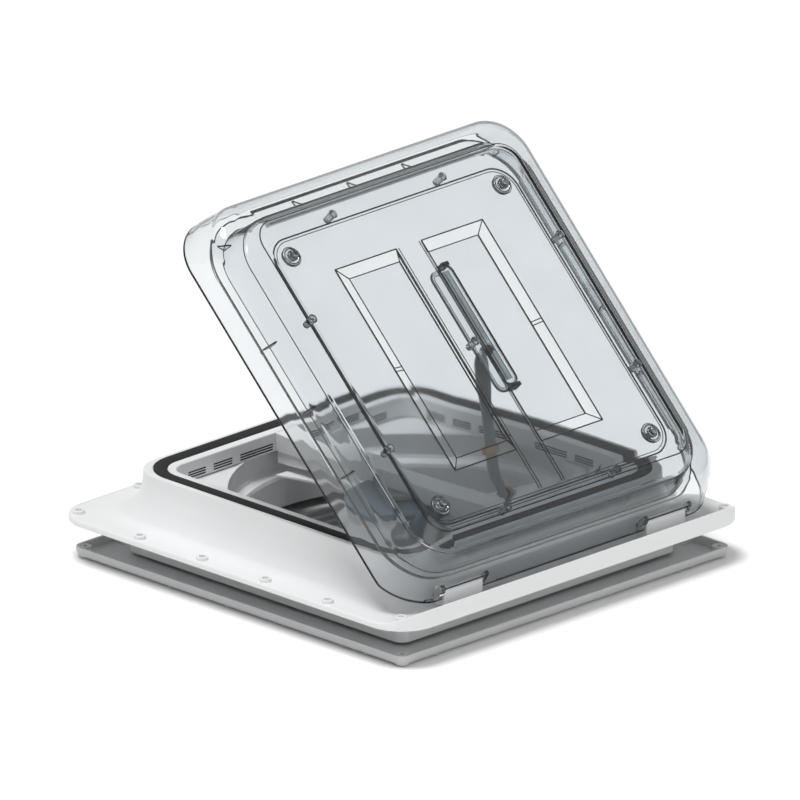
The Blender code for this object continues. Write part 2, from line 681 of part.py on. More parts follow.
def winder_shafts():
    axis = empty("worm_axis", (WORM_X, ARM_Y, WORM_Z))
    flat = Matrix.Rotation(-math.pi / 2, 4, "X")
    profile = [(2.4, -50.5), (4.2, -48.5), (4.2, -44.0), (2.0, -43.5), (2.0, -11.5), (4.3, -11.0),
               (4.3, 9.0), (2.0, 9.9)]
    worm = moved(turned(profile, 16), flat)
    place("worm_shaft", worm, "steel", axis)

    crank = empty("crank_axis", (WORM_X, CRANK_Y, 0.0))
    shaft = turned([(2.9, 9.6), (2.9, 60.6), (5.2, 60.8), (5.2, 62.0), (2.6, 65.3)], 16)
    place("crank_shaft", shaft, "steel", crank)
    socket = turned([(7.4, 0.6), (8.0, 1.2), (8.0, 9.3)], 20)
    knob = place("crank_socket", socket, "mid_grey", crank)
    combine(knob, turned([(3.2, -2.0), (3.2, 6.0)], 6), "DIFFERENCE")


# ---------------------------------------------------------------- assembly

roof_frame()
rubber_seal()
fan_shroud()
bridge_beam()
ceiling_frame()
grille_guard()
fan()
motor_housing()
hinges()
lid()
lift_arm()
gearbox()
winder_shafts()
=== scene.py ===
import json
import math

import bmesh
import bpy
from mathutils import Matrix, Vector
from mathutils.geometry import tessellate_polygon


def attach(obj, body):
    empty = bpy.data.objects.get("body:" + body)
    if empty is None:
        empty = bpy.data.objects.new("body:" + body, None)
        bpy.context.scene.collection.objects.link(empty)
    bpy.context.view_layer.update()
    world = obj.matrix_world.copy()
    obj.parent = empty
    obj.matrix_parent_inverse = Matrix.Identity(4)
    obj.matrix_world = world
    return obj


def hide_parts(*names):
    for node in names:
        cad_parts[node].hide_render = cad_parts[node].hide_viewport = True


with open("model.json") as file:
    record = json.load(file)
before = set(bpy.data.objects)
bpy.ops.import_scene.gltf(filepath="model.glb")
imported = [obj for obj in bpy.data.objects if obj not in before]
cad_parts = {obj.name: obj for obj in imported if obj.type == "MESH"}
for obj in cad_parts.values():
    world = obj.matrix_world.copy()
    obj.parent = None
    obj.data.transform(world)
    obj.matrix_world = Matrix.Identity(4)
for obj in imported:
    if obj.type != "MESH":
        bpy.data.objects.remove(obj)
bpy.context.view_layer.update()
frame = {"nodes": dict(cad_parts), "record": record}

# Sizes are in millimetres. The lid's pieces are drawn in the lid's own frame: x across,
# v away from the hinge and w up from the hinge axis with the lid closed.
MM = 0.001
NODES = frame["nodes"]

HINGE_Y = -226.0
HINGE_Z = 60.0
LID_OPEN = math.radians(45.0)
LID_MATRIX = Matrix.Translation((0, HINGE_Y, HINGE_Z)) @ Matrix.Rotation(LID_OPEN, 4, "X")
PANEL_CENTRE = 226.0


# ------------------------------------------------------------------ materials

NOISE_LOW = 0.3
NOISE_HIGH = 0.7
RIM_START = 0.80
RIM_END = 0.97
CLEAR_DEPTH_TINT = (0.10, 0.19, 0.26, 1.0)


def new_material(name):
    mat = bpy.data.materials.new(name)
    mat.use_nodes = True
    tree = mat.node_tree
    return mat, tree, tree.nodes["Principled BSDF"]


def noise(tree, scale, detail=4.0, rough=0.6):
    coords = tree.nodes.new("ShaderNodeTexCoord")
    node = tree.nodes.new("ShaderNodeTexNoise")
    node.inputs["Scale"].default_value = scale
    node.inputs["Detail"].default_value = detail
    node.inputs["Roughness"].default_value = rough
    tree.links.new(coords.outputs["Object"], node.inputs["Vector"])
    return node.outputs["Fac"]


def ramp(tree, fac, low, high):
    """Colour between two tones over the part of the range where noise mostly lies."""
    node = tree.nodes.new("ShaderNodeValToRGB")
    node.color_ramp.elements[0].position = NOISE_LOW
    node.color_ramp.elements[1].position = NOISE_HIGH
    node.color_ramp.elements[0].color = (*low, 1.0)
    node.color_ramp.elements[1].color = (*high, 1.0)
    tree.links.new(fac, node.inputs["Fac"])
    return node.outputs["Color"]


def ranged(tree, fac, low, high):
    node = tree.nodes.new("ShaderNodeMapRange")
    node.inputs["From Min"].default_value = NOISE_LOW
    node.inputs["From Max"].default_value = NOISE_HIGH
    node.inputs["To Min"].default_value = low
    node.inputs["To Max"].default_value = high
    tree.links.new(fac, node.inputs["Value"])
    return node.outputs["Result"]


def bump(tree, shader, height, strength, distance):
    node = tree.nodes.new("ShaderNodeBump")
    node.inputs["Strength"].default_value = strength
    node.inputs["Distance"].default_value = distance
    tree.links.new(height, node.inputs["Height"])
    tree.links.new(node.outputs["Normal"], shader.inputs["Normal"])


def plastic(name, colour, rough, spread=0.03, grain=900.0, depth=0.00006, coat=0.0):
    """Moulded plastic: slight cloudiness, fine surface grain and uneven gloss."""
    mat, tree, shader = new_material(name)
    cloud = noise(tree, 9.0, 5.0)
    low = tuple(max(0.0, c * (1.0 - spread)) for c in colour)
    high = tuple(min(1.0, c * (1.0 + spread)) for c in colour)
    tree.links.new(ramp(tree, cloud, low, high), shader.inputs["Base Color"])
    fine = noise(tree, grain, 3.0)
    tree.links.new(ranged(tree, fine, rough - 0.05, rough + 0.07), shader.inputs["Roughness"])
    bump(tree, shader, fine, 0.25, depth)
    shader.inputs["Coat Weight"].default_value = coat
    shader.inputs["Coat Roughness"].default_value = 0.2
    return mat


def metal(name, colour, rough):
    """Drawn metal with fine lines along one way and small tonal changes."""
    mat, tree, shader = new_material(name)
    coords = tree.nodes.new("ShaderNodeTexCoord")
    mapping = tree.nodes.new("ShaderNodeMapping")
    mapping.inputs["Scale"].default_value = (1.0, 1.0, 30.0)
    lines = tree.nodes.new("ShaderNodeTexNoise")
    lines.inputs["Scale"].default_value = 120.0
    lines.inputs["Detail"].default_value = 4.0
    tree.links.new(coords.outputs["Object"], mapping.inputs["Vector"])
    tree.links.new(mapping.outputs["Vector"], lines.inputs["Vector"])
    low = tuple(c * 0.88 for c in colour)
    tree.links.new(ramp(tree, lines.outputs["Fac"], low, colour), shader.inputs["Base Color"])
    tree.links.new(ranged(tree, lines.outputs["Fac"], rough - 0.06, rough + 0.08),
                   shader.inputs["Roughness"])
    bump(tree, shader, lines.outputs["Fac"], 0.2, 0.00004)
    shader.inputs["Metallic"].default_value = 1.0
    return mat


def clear_plastic(name, tint, rim=(0.24, 0.25, 0.26), density=11.0, rough=0.02):
    """Clear moulded acrylic: tinted, faintly uneven, darker where it is seen edge-on."""
    mat, tree, shader = new_material(name)
    haze = noise(tree, 14.0, 3.0)
    low = tuple(c * 0.97 for c in tint)
    weight = tree.nodes.new("ShaderNodeLayerWeight")
    weight.inputs["Blend"].default_value = 0.5
    grazing = tree.nodes.new("ShaderNodeMapRange")
    grazing.inputs["From Min"].default_value = RIM_START
    grazing.inputs["From Max"].default_value = RIM_END
    tree.links.new(weight.outputs["Facing"], grazing.inputs["Value"])
    mix = tree.nodes.new("ShaderNodeMix")
    mix.data_type = "RGBA"
    for socket in mix.inputs:
        if socket.identifier == "B_Color":
            socket.default_value = (*rim, 1.0)
        if socket.identifier == "A_Color":
            tree.links.new(ramp(tree, haze, low, tint), socket)
        if socket.identifier == "Factor_Float":
            tree.links.new(grazing.outputs["Result"], socket)
    colour = [socket for socket in mix.outputs if socket.identifier == "Result_Color"][0]
    tree.links.new(colour, shader.inputs["Base Color"])
    if density:
        inside = tree.nodes.new("ShaderNodeVolumeAbsorption")
        inside.inputs["Color"].default_value = CLEAR_DEPTH_TINT
        inside.inputs["Density"].default_value = density
        output = [node for node in tree.nodes if node.type == "OUTPUT_MATERIAL"][0]
        tree.links.new(inside.outputs["Volume"], output.inputs["Volume"])
    tree.links.new(ranged(tree, haze, rough, rough + 0.03), shader.inputs["Roughness"])
    bump(tree, shader, noise(tree, 22.0, 2.0), 0.12, 0.00025)
    shader.inputs["IOR"].default_value = 1.45
    shader.inputs["Transmission Weight"].default_value = 1.0
    return mat


LOOK = {
    "white_abs": plastic("white_abs_look", (0.77, 0.775, 0.78), 0.40, 0.015, 700.0, 0.00004, 0.15),
    "pale_plastic": plastic("pale_plastic_look", (0.72, 0.725, 0.73), 0.45, 0.02),
    "light_grey_plastic": plastic("light_grey_look", (0.52, 0.525, 0.53), 0.5, 0.03, 1100.0,
                                  0.0001),
    "mid_grey_plastic": plastic("mid_grey_look", (0.31, 0.312, 0.315), 0.42, 0.04),
    "black_rubber": plastic("black_rubber_look", (0.009, 0.009, 0.0095), 0.75, 0.2, 1500.0,
                            0.0001),
    "black_plastic": plastic("black_plastic_look", (0.02, 0.02, 0.021), 0.45, 0.1),
    "smoke_blue": plastic("smoke_blue_look", (0.15, 0.215, 0.265), 0.22, 0.05, 500.0, 0.00003,
                          0.5),
    "clear_acrylic": clear_plastic("clear_acrylic_look", (0.880, 0.905, 0.918)),
    "steel": metal("steel_look", (0.62, 0.62, 0.63), 0.28),
    "brass": metal("brass_look", (0.42, 0.30, 0.20), 0.40),
}
CLEAR = LOOK["clear_acrylic"]
# Near-black clear look for thin lines laid along the clear parts' edges: painted shade where those
# edges look dark.
PAINTED_EDGE_SHADE = clear_plastic("painted_edge_shade_look", (0.045, 0.05, 0.055), (0.03, 0.03, 0.03), 0.0, 0.06)
SMOKED = clear_plastic("smoked_clear_look", (0.46, 0.49, 0.50), (0.08, 0.08, 0.085), 0.0, 0.05)
# Untinted clear look for the panel's sloping borders and lip: a painted highlight, so those faces
# read white.
PAINTED_HIGHLIGHT_CLEAR = clear_plastic("painted_highlight_clear_look", (1.0, 1.0, 1.0), (0.75, 0.78, 0.80), 0.0)
# A lighter copy of the white ABS, used on the hinge brackets: painted light, brightening brackets
# that sit in the lid's shade.
LIGHTENED_WHITE_ABS = plastic("bracket_painted_light_look", (0.90, 0.905, 0.91), 0.40, 0.015, 700.0, 0.00004, 0.15)
# Near-black look for the strips behind the vent slots: painted shadow.
SLOT_PAINTED_SHADOW = plastic("slot_shadow_look", (0.012, 0.012, 0.012), 0.8, 0.2)


def dress(obj, look):
    """Gives a CAD node its look."""
    mesh = obj.data
    if mesh.materials:
        for index in range(len(mesh.materials)):
            mesh.materials[index] = look
    else:
        mesh.materials.append(look)


for row in frame["record"]["subparts"]:
    dress(NODES[row["node"]], LOOK[row["material_slot"]])
# The hinge brackets get the lighter copy of the white ABS: painted light.
for bracket in ("hinge_bracket_left", "hinge_bracket_right"):
    dress(NODES[bracket], LIGHTENED_WHITE_ABS)


# ------------------------------------------------------------------ mesh helpers, in millimetres

def rounded(x_half, y_low, y_high, corner, steps):
    """Outline of a rectangle with round corners."""
    points = []
    corners = [(x_half - corner, y_high - corner, 0), (-x_half + corner, y_high - corner, 1),
               (-x_half + corner, y_low + corner, 2), (x_half - corner, y_low + corner, 3)]
    for cx, cy, quarter in corners:
        for i in range(steps + 1):
            a = (quarter + i / steps) * math.pi / 2
            points.append((cx + corner * math.cos(a), cy + corner * math.sin(a)))
    return points


def skin(rings, closed=False, caps=False):
    """Joins equal rings of points into one surface."""
    count = len(rings[0])
    verts = [point for ring in rings for point in ring]
    faces = []
    pairs = len(rings) if closed else len(rings) - 1
    for k in range(pairs):
        a = k * count
        b = ((k + 1) % len(rings)) * count
        for i in range(count):
            j = (i + 1) % count
            faces.append((a + i, a + j, b + j, b + i))
    if caps:
        faces.append(tuple(range(count)))
        faces.append(tuple(range(len(verts) - count, len(verts))))
    return verts, faces


def mesh_from(name, shape, matrix=None):
    """Mesh in metres from a shape in millimetres, with its faces turned outwards."""
    verts, faces = shape
    if matrix is not None:
        verts = [matrix @ Vector(vert) for vert in verts]
    mesh = bpy.data.meshes.new(name)
    mesh.from_pydata([[MM * value for value in vert] for vert in verts], [], faces)
    work = bmesh.new()
    work.from_mesh(mesh)
    bmesh.ops.recalc_face_normals(work, faces=work.faces)
    work.to_mesh(mesh)
    work.free()
    return mesh


def piece(name, shape, look, body, replaces=(), matrix=None, sharp=35):
    """Adds a piece to the scene, ties it to its body, gives it its look and hides the nodes it
    replaces.
    """
    mesh = mesh_from(name, shape, matrix)
    mesh.materials.append(look)
    mesh.shade_smooth()
    mesh.set_sharp_from_angle(angle=math.radians(sharp))
    obj = bpy.data.objects.new(name, mesh)
    bpy.context.scene.collection.objects.link(obj)
    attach(obj, body)
    if replaces:
        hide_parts(*replaces)
    return obj


def finer(rows, times):
    """Catmull-Rom rows between the given ones."""
    out = []
    for k in range(len(rows) - 1):
        p0 = rows[max(0, k - 1)]
        p1, p2 = rows[k], rows[k + 1]
        p3 = rows[min(len(rows) - 1, k + 2)]
        for i in range(times):
            t = i / times
            row = []
            for a, b, c, d in zip(p0, p1, p2, p3):
                row.append(0.5 * (2 * b + (c - a) * t + (2 * a - 5 * b + 4 * c - d) * t * t
                                  + (3 * b - a - 3 * c + d) * t * t * t))
            out.append(tuple(row))
    out.append(rows[-1])
    return out


def block(x0, x1, y0, y1, z0, z1):
    rings = [[(x0, y0, z), (x1, y0, z), (x1, y1, z), (x0, y1, z)] for z in (z0, z1)]
    return skin(rings, caps=True)


def lift(points, z):
    return [(x, y, z) for x, y in points]


def circle(radius, count, centre=(0.0, 0.0)):
    cx, cy = centre
    turns = [2 * math.pi * i / count for i in range(count)]
    return [(cx + radius * math.cos(a), cy + radius * math.sin(a)) for a in turns]


def turned(profile, count, closed=False):
    """Turns a profile of radius and height about the upright axis."""
    rings = [lift(circle(radius, count), z) for radius, z in profile]
    return skin(rings, closed=closed, caps=not closed)


def moved(shape, matrix):
    verts, faces = shape
    return [tuple(matrix @ Vector(vert)) for vert in verts], faces


def shifted(shape, x, y, z=0.0):
    return moved(shape, Matrix.Translation((x, y, z)))


def along_x(shape, y, z):
    return moved(shape, Matrix.Translation((0, y, z)) @ Matrix.Rotation(math.pi / 2, 4, "Y"))


def side_profile(outline, x0, x1):
    """Solid of a side-view outline of y and z, from x0 to x1."""
    return skin([[(x0, y, z) for y, z in outline], [(x1, y, z) for y, z in outline]], caps=True)


def together(shapes):
    """Several shapes as one."""
    verts = []
    faces = []
    for more, sides in shapes:
        start = len(verts)
        verts.extend(more)
        faces.extend(tuple(start + i for i in face) for face in sides)
    return verts, faces


def combine(obj, shape, operation, matrix=None):
    """Booleans a shape into a finished piece and keeps only the result."""
    tool = bpy.data.objects.new("tool", mesh_from("tool", shape, matrix))
    bpy.context.scene.collection.objects.link(tool)
    modifier = obj.modifiers.new("combine", "BOOLEAN")
    modifier.operation = operation
    modifier.solver = "EXACT"
    modifier.object = tool
    graph = bpy.context.evaluated_depsgraph_get()
    result = bpy.data.meshes.new_from_object(obj.evaluated_get(graph))
    obj.modifiers.remove(modifier)
    bpy.data.objects.remove(tool, do_unlink=True)
    obj.data = result
    result.shade_smooth()
    result.set_sharp_from_angle(angle=math.radians(30))


# ------------------------------------------------------------------ lid

# Outer surface of the dome: height, half width, hinge edge, free edge, corner radius.
DOME = [(-11.0, 228.0, -4.0, 459.0, 47.0), (0.0, 226.6, -4.0, 458.2, 46.8),
        (10.0, 224.4, -1.5, 456.8, 46.6), (25.0, 221.0, 4.0, 454.0, 46.0),
        (32.7, 219.5, 8.0, 452.5, 45.0), (39.1, 215.1, 12.5, 448.1, 42.5),
        (43.5, 208.7, 18.0, 441.7, 39.0), (46.4, 202.0, 24.0, 435.0, 35.5),
        (54.6, 184.5, 43.0, 417.5, 25.0), (56.0, 180.5, 47.0, 413.5, 22.0)]
DOME_WALL = 3.0
BRACKET_X = 144.5
BRACKET_HALF = 27.5
PIN_RADIUS = 2.5


def dome_ring(row, inset):
    """One ring of the dome; inset gives the inner surface."""
    w, half, low, high, corner = row
    ring = rounded(half - inset, low + inset, high - inset, corner - inset, 22)
    drop = 0.0 if w <= 25.0 else inset * min(1.0, (w - 25.0) / 20.0)
    points = []
    for x, v in ring:
        rise = 0.0
        if w < 0.0:
            # The skirt ends higher along the hinge side, so it clears the swept-up flange.
            reach = min(1.0, max(0.0, (34.0 - v) / 34.0))
            rise = 11.0 * reach * 0.98 * (-w / 11.0)
        points.append((x, v, w - drop + rise))
    return points


def make_dome():
    """Outer skin with its hinge lugs, bracket notches and pin bores."""
    rows = finer(DOME, 4)
    inside = [dome_ring(row, DOME_WALL) for row in reversed(rows)]
    outside = [dome_ring(row, 0.0) for row in rows]
    shape = skin(inside + outside, caps=True)
    obj = piece("dome_skin", shape, CLEAR, "lid", ("dome",), LID_MATRIX, 30)
    lugs = []
    cuts = []
    for side in (-1, 1):
        x = side * BRACKET_X
        for end in (-1, 1):
            near = x + end * (BRACKET_HALF + 0.7)
            far = near + end * 5.4
            lug = [(-3.0, -3.4), (3.5, -3.4), (6.5, 0.0), (6.5, 14.0), (1.0, 14.0), (-3.0, 2.0)]
            lugs.append(side_profile(lug, min(near, far), max(near, far)))
        half = BRACKET_HALF + 0.8
        cuts.append(block(x - half, x + half, -16.0, 15.0, -20.0, 13.6))
    combine(obj, together(lugs), "UNION", LID_MATRIX)
    combine(obj, together(cuts), "DIFFERENCE", LID_MATRIX)
    bores = []
    for side in (-1, 1):
        bore = along_x(turned([(PIN_RADIUS + 0.3, -50.0), (PIN_RADIUS + 0.3, 50.0)], 24), 0, 0)
        bores.append(shifted(bore, side * BRACKET_X, 0.0))
    combine(obj, together(bores), "DIFFERENCE", LID_MATRIX)


GUSSET_PITCH = 78.0
GUSSET_OUT = 204.6


def gusset_spots():
    """Place and turn of each gusset."""
    spots = []
    for along in (-GUSSET_PITCH, 0.0, GUSSET_PITCH):
        spots.append((GUSSET_OUT, PANEL_CENTRE + along, 0.0))
        spots.append((-GUSSET_OUT, PANEL_CENTRE + along, math.pi))
        spots.append((along, PANEL_CENTRE + GUSSET_OUT, math.pi / 2))
    for side in (-1, 1):
        spots.append((side * 190.0, PANEL_CENTRE + 190.0, math.pi / 2 - side * math.pi / 4))
    return spots


def make_gussets():
    """Triangular stiffeners between the panel's outer wall and its lip."""
    shapes = []
    bars = []
    outline = [(-1.0, 9.4), (10.4, 8.6), (10.4, 9.6), (0.0, 21.0), (-1.0, 21.0)]
    for x, v, turn in gusset_spots():
        matrix = Matrix.Translation((x, v, 0.0)) @ Matrix.Rotation(turn, 4, "Z")
        rings = [[(u, side, w) for u, w in outline] for side in (-0.9, 0.9)]
        shapes.append(moved(skin(rings, caps=True), matrix))
        # Thin dark lines along each gusset's edges: painted shade.
        corners = [(0.4, 0.0, 11.2), (10.6, 0.0, 10.0), (0.2, 0.0, 21.4)]
        corners = [matrix @ Vector(corner) for corner in corners]
        for i in range(3):
            bars.append(tube([corners[i], corners[(i + 1) % 3]], 0.6))
    piece("panel_gussets", together(shapes), CLEAR, "lid", (), LID_MATRIX)
    piece("gusset_painted_edge_shade", together(bars), PAINTED_EDGE_SHADE, "lid", (), LID_MATRIX)


def make_pegs():
    """Turned spacers between the two skins."""
    side = 176.0
    spots = [(0.0, PANEL_CENTRE)]
    for end in (-1, 1):
        for along in (-78.0, 78.0):
            spots.append((end * side, PANEL_CENTRE + along))
            spots.append((along, PANEL_CENTRE + end * side))
    for number, (x, v) in enumerate(spots, 1):
        profile = [(2.4, 37.6), (3.2, 38.0), (3.8, 38.8), (4.1, 52.2), (5.0, 53.2)]
        shape = shifted(turned(profile, 28), x, v)
        piece("dome_peg_%d" % number, shape, SMOKED, "lid", (), LID_MATRIX)


# The panel: height, half width, reach towards the hinge, corner radius.
PANEL = [(41.6, 167.0, 167.0, 24.0), (41.2, 170.6, 170.6, 27.0), (40.4, 173.0, 173.0, 29.0),
         (39.9, 196.0, 196.0, 44.0), (38.6, 199.6, 199.6, 46.5), (34.0, 201.4, 201.4, 47.5),
         (18.0, 204.6, 204.0, 49.0), (10.4, 206.4, 205.6, 50.5), (8.6, 217.4, 209.6, 56.0)]


def panel_ring(row, inset, drop):
    w, half, hinge, corner = row
    outline = rounded(half - inset, PANEL_CENTRE - hinge + inset,
                      PANEL_CENTRE + half - inset, corner - inset, 18)
    return [(x, v, w - drop) for x, v in outline]


FIELD_NEAR_X = 18.0
FIELD_FAR_X = 105.0
FIELD_START = 107.0
FIELD_END = 349.0
FIELD_BORDER = 13.0
FIELD_STEEP = 2.0
FIELD_DEPTH = 3.0
BEAD_W = 41.9


def field(side):
    """Outer and inner outline of one of the panel's two recessed fields."""
    low, high = sorted((side * FIELD_NEAR_X, side * FIELD_FAR_X))
    left, right = (FIELD_BORDER, FIELD_STEEP) if side < 0 else (FIELD_STEEP, FIELD_BORDER)
    wide = [(low, FIELD_START), (high, FIELD_START), (high, FIELD_END), (low, FIELD_END)]
    start, end = FIELD_START + FIELD_BORDER, FIELD_END - FIELD_BORDER
    slim = [(low + left, start), (high - right, start), (high - right, end), (low + left, end)]
    return wide, slim


def make_panel():
    """Second skin: a tray with two shallow fields that have sloping borders."""
    thick = 2.2
    rows = [[panel_ring(row, 0.0, 0.0) for row in PANEL]]
    insets = [0.0, 0.0, 0.0, 0.0, 1.2, thick, thick, thick, 0.0]
    drops = [thick, thick, thick, thick, thick, 1.0, 1.0, thick, thick]
    rows.append([panel_ring(row, a, b) for row, a, b in zip(PANEL, insets, drops)])
    verts = []
    faces = []
    starts = []
    for rings in rows:
        start = len(verts)
        more, sides = skin(rings)
        verts.extend(more)
        faces.extend(tuple(start + i for i in side) for side in sides)
        starts.append((start, start + len(more) - len(rings[0])))
    count = len(rows[0][0])
    for i in range(count):
        j = (i + 1) % count
        faces.append((starts[0][1] + i, starts[0][1] + j, starts[1][1] + j, starts[1][1] + i))
    for level in (0, 1):
        top = PANEL[0][0] - thick * level
        index = list(range(starts[level][0], starts[level][0] + count))
        loops = [[Vector(verts[i]) for i in index]]
        for side in (-1, 1):
            wide, slim = field(side)
            start = len(verts)
            verts.extend(lift(wide, top))
            verts.extend(lift(slim, top - FIELD_DEPTH))
            for i in range(4):
                j = (i + 1) % 4
                faces.append((start + i, start + j, start + 4 + j, start + 4 + i))
            faces.append(tuple(start + 4 + i for i in range(4)))
            index.extend(range(start, start + 4))
            loops.append([Vector(verts[start + i]) for i in range(4)])
        faces.extend(tuple(index[i] for i in tri) for tri in tessellate_polygon(loops))
    obj = piece("inner_skin", (verts, faces), CLEAR, "lid", ("inner_panel",),
                LID_MATRIX, 18)
    # The sloping field borders and the outer lip take the untinted look: a painted highlight.
    obj.data.materials.append(PAINTED_HIGHLIGHT_CLEAR)
    back = LID_MATRIX.inverted()
    for face in obj.data.polygons:
        corners = [back @ (obj.data.vertices[i].co / MM) for i in face.vertices]
        x, v, w = sum(corners, Vector()) / len(corners)
        heights = [corner.z for corner in corners]
        slope = max(heights) - min(heights)
        bevel = abs(x) < FIELD_FAR_X and FIELD_START < v < FIELD_END and 2.0 < slope < 4.0
        lip = w < 10.6 and max(abs(x), abs(v - PANEL_CENTRE)) > 205.0
        if bevel or lip:
            face.material_index = 1


def tube(path, radius, closed=False, sides=8):
    """A round bar swept along a path of points."""
    points = [Vector(point) for point in path]
    count = len(points)
    rings = []
    for i, here in enumerate(points):
        after = points[(i + 1) % count] if closed or i + 1 < count else here
        before = points[i - 1] if closed or i > 0 else here
        ahead = (after - before).normalized()
        side = ahead.cross(Vector((0.0, 0.0, 1.0)))
        if side.length < 0.1:
            side = ahead.cross(Vector((1.0, 0.0, 0.0)))
        side.normalize()
        up = side.cross(ahead)
        rings.append([here + radius * (math.cos(2 * math.pi * k / sides) * side
                                       + math.sin(2 * math.pi * k / sides) * up)
                      for k in range(sides)])
    return skin(rings, closed=closed, caps=not closed)


def panel_loop(half, hinge, corner, w):
    """Closed path round the panel at one height."""
    outline = rounded(half, PANEL_CENTRE - hinge, PANEL_CENTRE + half, corner, 18)
    return lift(outline, w)


def make_painted_edge_shade():
    """Thin dark lines along the edges of the two skins: painted shade where the clear edges look
    dark.
    """
    bars = [tube(dome_ring(DOME[0], 0.5), 0.9, True),
            tube(dome_ring(DOME[0], 2.6), 0.5, True),
            tube(dome_ring(DOME[8], 0.6), 0.7, True)]
    piece("dome_painted_edge_shade", together(bars), PAINTED_EDGE_SHADE, "lid", (), LID_MATRIX)
    bars = [tube(panel_loop(217.0, 209.2, 56.0, 9.4), 0.8, True),
            tube(panel_loop(206.4, 205.6, 50.5, 11.0), 0.6, True),
            tube(panel_loop(200.4, 200.4, 46.8, 37.8), 0.5, True),
            tube(panel_loop(171.4, 171.4, 27.0, 41.9), 0.9, True),
            tube(panel_loop(168.2, 168.2, 25.0, 42.0), 0.45, True)]
    piece("panel_painted_edge_shade", together(bars), PAINTED_EDGE_SHADE, "lid", (), LID_MATRIX)


def make_field_painted_edge_shade():
    """Thin dark lines round the two recessed fields and along the middle channel: painted shade
    along their edges.
    """
    bars = []
    for side in (-1, 1):
        wide, slim = field(side)
        top = [Vector((x, v, BEAD_W)) for x, v in wide]
        low = [Vector((x, v, 39.0)) for x, v in slim]
        for i in range(4):
            j = (i + 1) % 4
            bars.append(tube([top[i], top[j]], 0.75))
            bars.append(tube([low[i], low[j]], 0.6))
            bars.append(tube([top[i], low[i]], 0.6))
        for i in (1, 3):
            j = (i + 1) % 4
            if abs(top[i].x - low[i].x) < 5.0:
                continue
            middle = [top[i].lerp(top[j], 0.5), low[i].lerp(low[j], 0.5)]
            for step in (-2.0, 2.0):
                ends = [point + Vector((0.0, step, 0.5)) for point in middle]
                bars.append(tube(ends, 0.6))
    for x in (-FIELD_NEAR_X, -14.5, 14.5, FIELD_NEAR_X):
        bars.append(tube([(x, 60.0, BEAD_W), (x, FIELD_START, BEAD_W)], 0.55))
        if abs(x) < 16.0:
            bars.append(tube([(x, FIELD_START, BEAD_W), (x, FIELD_END, BEAD_W)], 0.45))
    piece("field_painted_edge_shade", together(bars), PAINTED_EDGE_SHADE, "lid", (), LID_MATRIX)


FIXING_SIDE = 150.0


def make_fixings():
    """Grommets and screws in the panel's corners, with thin dark rings of painted shade round each
    grommet.
    """
    cup = [(3.9, 38.4), (3.9, 41.8), (10.0, 41.8), (10.6, 42.6), (10.6, 45.4), (9.4, 46.2),
           (8.4, 45.2), (7.8, 43.6), (4.4, 43.4)]
    stud = [(2.3, 36.8), (2.3, 43.6), (5.2, 43.8), (5.2, 47.0), (4.0, 47.6), (4.0, 52.2),
            (3.2, 53.0)]
    spots = [(sx * FIXING_SIDE, PANEL_CENTRE + sv * FIXING_SIDE)
             for sx in (-1, 1) for sv in (-1, 1)]
    for number, (x, v) in enumerate(spots, 1):
        piece("grommet_%d" % number, shifted(turned(cup, 32, closed=True), x, v), CLEAR, "lid",
              ("panel_grommet_%d" % number,), LID_MATRIX)
        piece("stud_%d" % number, shifted(turned(stud, 24), x, v), LOOK["steel"], "lid",
              ("panel_screw_%d" % number,), LID_MATRIX)
        # Dark rings round each grommet: painted shade.
        rim = [lift(circle(r, 32, (x, v)), w) for r, w in ((10.7, 45.2), (8.6, 45.9), (5.4, 47.2))]
        bars = [tube(ring, 0.5, True) for ring in rim]
        piece("grommet_rim_%d" % number, together(bars), PAINTED_EDGE_SHADE, "lid", (),
              LID_MATRIX)


def make_rail():
    """Clear channel with round ends and inward lips."""
    x0, v0, v1, half = 27.0, 174.0, 318.0, 10.0

    def stadium(inset, w, low=0.0):
        outline = rounded(half - inset, v0 + inset, v1 - inset, half - inset - 0.5, 12)
        return [(x0 + x, v, w) for x, v in outline]

    rings = [stadium(0.0, 24.0), stadium(0.0, 39.2), stadium(1.8, 39.2), stadium(1.8, 25.8),
             stadium(4.2, 25.8), stadium(4.2, 24.0)]
    piece("rail_channel", skin(rings, closed=True), CLEAR, "lid", ("lift_rail",),
          LID_MATRIX, 30)
    # Thin dark lines along the channel's edges and floor: painted shade.
    bars = [tube(stadium(0.0, 39.2), 0.6, True), tube(stadium(0.0, 24.0), 0.7, True),
            tube(stadium(4.2, 24.2), 0.5, True), tube(stadium(1.8, 39.4), 0.4, True)]
    piece("rail_painted_edge_shade", together(bars), PAINTED_EDGE_SHADE, "lid", (), LID_MATRIX)
    bars = [tube([(x0 + dx, v0 + 7.0, 36.6), (x0 + dx, v1 - 7.0, 36.6)], 0.5)
            for dx in (-4.4, -1.0, 5.0)]
    piece("rail_painted_shade_lines", together(bars), PAINTED_EDGE_SHADE, "lid", (), LID_MATRIX)
    core = block(x0 - 4.2, x0 + 4.8, v0 + 7.0, v1 - 7.0, 37.3, 38.6)
    piece("rail_core", core, SMOKED, "lid", (), LID_MATRIX)


def make_slot_shadow_strips():
    """Dark strips inside the wall, which the vent slots look onto: painted shadow behind the
    slots.
    """
    shapes = []
    for turn in range(4):
        matrix = Matrix.Rotation(turn * math.pi / 2, 4, "Z")
        shapes.append(moved(block(-142.0, 142.0, 167.0, 169.2, 75.4, 83.4), matrix))
    piece("slot_shadow_strips", together(shapes), SLOT_PAINTED_SHADOW, "root", ())


SWEEP_START = 208.0
SWEEP_RUN = 42.0
SWEEP_RISE = 14.5
FLANGE_TOP = 47.0


